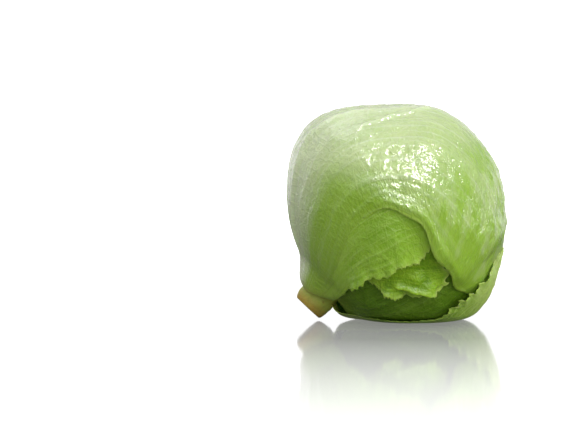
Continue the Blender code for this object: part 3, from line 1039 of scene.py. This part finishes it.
def leaf_colour(tree, greens, fibre, grain, net):
    """The two greens in blotches, and then one layer over the other."""
    deep, light, pale = greens
    blade = blend_colours(tree, blotches(tree, object_place(tree), 30 * MM), deep, light)
    layers = (
        (times(tree, grain, 0.35), light),
        (map_range(tree, fibre, 0.52, 0.68, 0, 0.4), pale),
        (net, pale),
        # The pale share is partly the leaf's own pale and partly painted light at the tip and on
        # crests
        (stored(tree, "pale"), pale),
        (times(tree, stored(tree, "vein"), 0.75), pale),
        (times(tree, stored(tree, "green"), 0.8), FRESH),
        # The pale rim on the margins is a painted highlight
        (stored(tree, "painted_rim_light"), PAINTED_RIM_LIGHT),
        (stored(tree, "base"), LEAF_BASE),
    )
    for share, colour in layers:
        blade = blend_colours(tree, share, blade, colour)
    return blade


def leaf_bumps(tree, on_leaf, fibre, grain, net):
    """The bump of the blade, and that of its coat."""
    relief = plus(tree, times(tree, net, 2), fibre)
    relief = plus(tree, relief, times(tree, grain, 0.6))
    relief = arithmetic(tree, "SUBTRACT", relief, blisters(tree, on_leaf, *BLADE_BLISTERS))
    waxy = blisters(tree, stretched(tree, on_leaf, COAT_STRETCH), *COAT_BLISTERS)
    waxy = plus(tree, plus(tree, waxy, fibre), net)
    return bump_of(tree, relief, BLADE_RELIEF), bump_of(tree, waxy, COAT_RELIEF)


def leaf_material(leaf):
    material, tree, shader = new_material(leaf.name + "_skin")
    on_leaf = stored(tree, "on_leaf", "Vector")
    patterns = leaf_patterns(tree, on_leaf)
    blade_bump, coat_bump = leaf_bumps(tree, on_leaf, *patterns)
    feed_all(tree, shader, LEAF_FINISH)
    feed_all(tree, shader, {
        "Base Color": leaf_colour(tree, GREENS[leaf.name], *patterns),
        "Roughness": between(tree, object_place(tree), 6 * MM, 0.34, 0.52),
        "Normal": blade_bump,
        "Coat Weight": leaf.coat,
        "Coat Normal": coat_bump,
    })
    return material


# %% [markdown]
# ## Put the leaves on
#
# The leaf on top is the palest and by far the waxiest. The crumpled one in the pocket under it is
# painted a deep green, partly its own and partly painted shade of the pocket, with painted light
# on its creases. The front leaf is painted darker, partly for the shade it lies in, and the leaves
# underneath are dark, partly their own deep green and partly painted shade near the floor.

# %% Colour and place each leaf
# The painted highlight along the margins, the base by the stem, and the fresh green on the big
# leaf
PAINTED_RIM_LIGHT = (0.45, 0.64, 0.12)
LEAF_BASE = (0.46, 0.47, 0.10)
FRESH = (0.23, 0.41, 0.01)
# The deep green, the light green and the pale of the ribs
GREENS = {
    # The under leaf's greens are dark, partly its own colour and partly painted shade near the
    # floor
    "under_leaf": ((0.08, 0.18, 0.006), (0.20, 0.36, 0.02), (0.58, 0.75, 0.20)),
    "cover_leaf": ((0.23, 0.38, 0.04), (0.38, 0.51, 0.14), (0.58, 0.66, 0.42)),
    "back_low_leaf": ((0.20, 0.36, 0.03), (0.36, 0.52, 0.10), (0.55, 0.66, 0.32)),
    # The front leaf's greens are partly its own and partly painted shade for the light it lacks
    "front_leaf": ((0.17, 0.33, 0.01), (0.27, 0.47, 0.03), (0.38, 0.56, 0.12)),
    "back_top_leaf": ((0.24, 0.41, 0.04), (0.42, 0.58, 0.14), (0.60, 0.70, 0.38)),
    # The flap's very deep greens are partly its own colour and partly painted shade of the pocket
    "flap_leaf": ((0.05, 0.13, 0.001), (0.12, 0.26, 0.004), (0.34, 0.54, 0.03)),
    # The bottom leaf's dark greens are partly its own colour and partly painted shade under the
    # head
    "bottom_leaf": ((0.06, 0.14, 0.004), (0.10, 0.20, 0.006), (0.16, 0.28, 0.03)),
}

for number, leaf in enumerate(LEAVES):
    piece = make_leaf(number)
    piece.data.materials.append(leaf_material(leaf))
    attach(piece, "root")
    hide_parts(leaf.name)
    print(piece.name, len(piece.data.polygons), "faces")

# %% [markdown]
# ## The stem
#
# The stem was cut with a knife, and its cut face has dried to a light brown. It is turned as a
# profile round the stem's axis and then made a little uneven, since it isn't quite round.

# %% Turn the stem
# The distance from the stem's axis and the reach along it, in mm, up to the cut face's middle
STEM_PROFILE = (
    (0, 44), (5.0, 44), (9.5, 58), (11.8, 68), (12.0, 74), (12.2, 79), (12.7, 82), (12.5, 84),
    (12.3, 86.5), (11.5, 89.5), (10.9, 90.9), (10.2, 91.5), (7.5, 91.0), (3.5, 91.2), (0, 91.1),
)
STEM_SIDES = 96
STEM_CUTS = 3
STEM_UNEVENNESS = 0.05
STEM_LUMPS = 7 * MM
SAME_POINT = 0.01 * MM

bm = bmesh.new()
line = [
    bm.verts.new(CENTRE + (STEM_AXIS * reach + UPPER_LEFT * radius) * MM)
    for radius, reach in STEM_PROFILE
]
edges = [bm.edges.new(pair) for pair in zip(line, line[1:])]
bmesh.ops.subdivide_edges(bm, edges=edges, cuts=STEM_CUTS)
bmesh.ops.spin(
    bm, geom=bm.verts[:] + bm.edges[:], cent=CENTRE, axis=STEM_AXIS, angle=math.tau,
    steps=STEM_SIDES, use_merge=True,
)
bmesh.ops.remove_doubles(bm, verts=bm.verts, dist=SAME_POINT)
for vert in bm.verts:
    local = np.array(vert.co) - CENTRE
    reach = local @ STEM_AXIS
    out = local - reach * STEM_AXIS
    uneven = noise.noise(vert.co / STEM_LUMPS) * STEM_UNEVENNESS
    vert.co = CENTRE + STEM_AXIS * reach + out * (1 + uneven)
bmesh.ops.recalc_face_normals(bm, faces=bm.faces)
stem = object_from(bm, "stem_butt")
stem.data.shade_smooth()
print("Stem:", len(stem.data.polygons), "faces")

# %% Give the stem its dried, sappy skin
STEM_BROWNS = ((0.34, 0.22, 0.03), (0.44, 0.32, 0.05))
STEM_GREEN = (0.34, 0.42, 0.06)
STEM_STAIN = (0.16, 0.09, 0.02)
# The stem's green fades to brown over these reaches from the head's centre
STEM_DRIED = (83 * MM, 90 * MM)

material, tree, shader = new_material("stem_skin")
spot = object_place(tree)
skin = blend_colours(tree, blotches(tree, spot, 7 * MM), *STEM_BROWNS)
along_stem = add_node(tree, "ShaderNodeVectorMath", operation="DOT_PRODUCT")
tree.links.new(spot, along_stem.inputs[0])
along_stem.inputs[1].default_value = STEM_AXIS
dried_from, dried_to = (float(CENTRE @ STEM_AXIS) + reach for reach in STEM_DRIED)
greener = map_range(tree, along_stem.outputs["Value"], dried_from, dried_to, 0.9, 0)
skin = blend_colours(tree, greener, skin, STEM_GREEN)
stain = map_range(tree, noise_texture(tree, spot, 4 * MM, 6.0), 0.58, 0.78, 0, 0.7)
skin = blend_colours(tree, stain, skin, STEM_STAIN)
feed_all(tree, shader, {
    "Base Color": skin,
    "Roughness": between(tree, spot, 3 * MM, 0.4, 0.7),
    "Normal": bump_of(tree, noise_texture(tree, spot, 2 * MM, 6.0), 0.6 * MM, strength=1.0),
    "Subsurface Weight": 0.15,
    "Subsurface Scale": 2 * MM,
})
stem.data.materials.append(material)
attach(stem, "root")
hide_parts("stem")

# %% [markdown]
# ## The heart
#
# Inside the outer leaves is a dense ball of pale, folded leaves. The measured model's heart has
# the right shape for what little could be seen of it, so it stays and gets a leaf-like finish.

# %% Finish the heart
HEART_GREENS = ((0.34, 0.48, 0.08), (0.54, 0.64, 0.20))
HEART_VEIN = (0.80, 0.84, 0.60)

material, tree, shader = new_material("heart_skin")
spot = object_place(tree)
skin = blend_colours(tree, blotches(tree, spot, 15 * MM), *HEART_GREENS)
lines = vein_net(tree, spot, 8 * MM, 0.08)
skin = blend_colours(tree, times(tree, lines, 0.4), skin, HEART_VEIN)
feed_all(tree, shader, {
    "Base Color": skin,
    "Roughness": 0.45,
    "Subsurface Weight": 0.2,
    "Subsurface Scale": 3 * MM,
})
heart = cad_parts["heart"]
heart.data.materials.clear()
heart.data.materials.append(material)

# %% [markdown]
# ## Floor, light and camera
#
# The head lies on a white glossy table in a white room. The table's white is painted light: it
# glows by itself, and more dimly near the head, which is a painted shadow. Some lights give the
# head its colour and others only its shine, so that each can be set by itself. A large one above
# and in front makes the broken highlight on the dome, and the white surroundings light the head's
# rims.

# %% Lay the floor
FLOOR_REACH = 6
WHITE = (1, 1, 1)
TABLE_GREY = (0.2, 0.2, 0.2)
# The table glows by itself, which is painted light, and only dimly near the head, which is a
# painted shadow, over these distances from it
GLOW_SPAN = (0.12, 0.5)
PAINTED_SHADOW_GLOW = 0.2
# It lights other things with half of the glow that the camera sees
UNSEEN_GLOW = 0.5

bm = bmesh.new()
bmesh.ops.create_grid(bm, x_segments=1, y_segments=1, size=FLOOR_REACH)
floor = object_from(bm, "table_top")
# The table's white is a painted glow, and it dims near the head as a painted shadow
material, tree, shader = new_material("table_painted_glow")
far_off = add_node(tree, "ShaderNodeVectorMath", operation="LENGTH")
tree.links.new(object_place(tree), far_off.inputs[0])
glow_with_painted_shadow = map_range(tree, far_off.outputs["Value"], *GLOW_SPAN, PAINTED_SHADOW_GLOW, 1.0)
seen = add_node(tree, "ShaderNodeLightPath").outputs["Is Camera Ray"]
feed_all(tree, shader, {
    "Base Color": TABLE_GREY,
    "Roughness": 0.08,
    "Emission Color": WHITE,
    "Emission Strength": times(tree, glow_with_painted_shadow, map_range(tree, seen, 0, 1, UNSEEN_GLOW, 1.0)),
})
floor.data.materials.append(material)
floor.visible_glossy = False

# %% Light the room
world = bpy.data.worlds.new("white_room")
world.use_nodes = True
tree = world.node_tree
heading = add_node(tree, "ShaderNodeSeparateXYZ")
tree.links.new(add_node(tree, "ShaderNodeTexCoord").outputs["Generated"], heading.inputs[0])
backward, upward = heading.outputs["Y"], heading.outputs["Z"]
# The ceiling is bright, and the wall behind the head half as much
bright_side = arithmetic(tree, "MAXIMUM", upward, times(tree, backward, 0.45))
glow = map_range(tree, bright_side, 0.05, 0.6, 0.04, 1.0)
# Low on the wall behind is a bright band, which the table mirrors
far_wall = times(
    tree,
    map_range(tree, upward, 0.15, 0.25, 1.45, 0.0),
    map_range(tree, backward, 0.4, 0.7, 0.0, 1.0),
)
glow = arithmetic(tree, "MAXIMUM", glow, far_wall)
# Next to no light comes from below
glow = times(tree, glow, map_range(tree, upward, -0.15, 0.02, 0.05, 1.0))
# The camera sees plain white all round
seen = add_node(tree, "ShaderNodeLightPath").outputs["Is Camera Ray"]
strength = arithmetic(tree, "MAXIMUM", glow, seen)
feed_all(tree, tree.nodes["Background"], {"Color": WHITE, "Strength": strength})
bpy.context.scene.world = world

MIDDLE = (0, 0, 0.075)


def soft_light(name, place, size, power, lights_colour=True, makes_shine=True):
    """A rectangular light that points at the head's middle."""
    data = bpy.data.lights.new(name, "AREA")
    data.shape = "RECTANGLE"
    data.size, data.size_y = size
    data.energy = power
    light = bpy.data.objects.new(name, data)
    light.location = place
    light.rotation_euler = (Vector(MIDDLE) - Vector(place)).to_track_quat("-Z", "Y").to_euler()
    light.visible_diffuse = lights_colour
    light.visible_glossy = makes_shine
    bpy.context.scene.collection.objects.link(light)


soft_light("key", (0.28, -0.60, 0.815), (0.4, 0.4), 1.9, makes_shine=False)
soft_light("key_shine", (0.36, -0.60, 0.90), (0.42, 0.36), 21.0, lights_colour=False)
soft_light("top", (-0.30, 0.22, 1.0), (0.5, 0.5), 2.0)
soft_light("right", (0.95, -0.4, 0.08), (0.4, 0.4), 5.2, makes_shine=False)
soft_light("right_shine", (1.0, -0.05, 0.16), (0.12, 0.14), 0.7, lights_colour=False)
soft_light("fill", (0.15, -1.3, 0.28), (1.2, 0.8), 5.5, makes_shine=False)

# %% Set up the camera
PICTURE_SIZE = (588, 441)
HEAD_PIXEL = (397, 210.5)
PIXEL = 0.69 * MM
RISE = math.radians(3.3)
DISTANCE = 1.3
SENSOR_WIDTH = 36
VIEW = Vector((0, math.cos(RISE), -math.sin(RISE)))
UP = Vector((0, math.sin(RISE), math.cos(RISE)))
RIGHT = Vector((1, 0, 0))
aim = Vector(MIDDLE) - RIGHT * (HEAD_PIXEL[0] - PICTURE_SIZE[0] / 2) * PIXEL
aim -= UP * (PICTURE_SIZE[1] / 2 - HEAD_PIXEL[1]) * PIXEL

camera_data = bpy.data.cameras.new("camera")
camera_data.sensor_width = SENSOR_WIDTH
camera_data.lens = SENSOR_WIDTH * DISTANCE / (PICTURE_SIZE[0] * PIXEL)
camera = bpy.data.objects.new("camera", camera_data)
camera.location = aim - VIEW * DISTANCE
camera.rotation_euler = VIEW.to_track_quat("-Z", "Y").to_euler()
bpy.context.scene.collection.objects.link(camera)
bpy.context.scene.camera = camera
bpy.context.scene.view_settings.view_transform = "Standard"
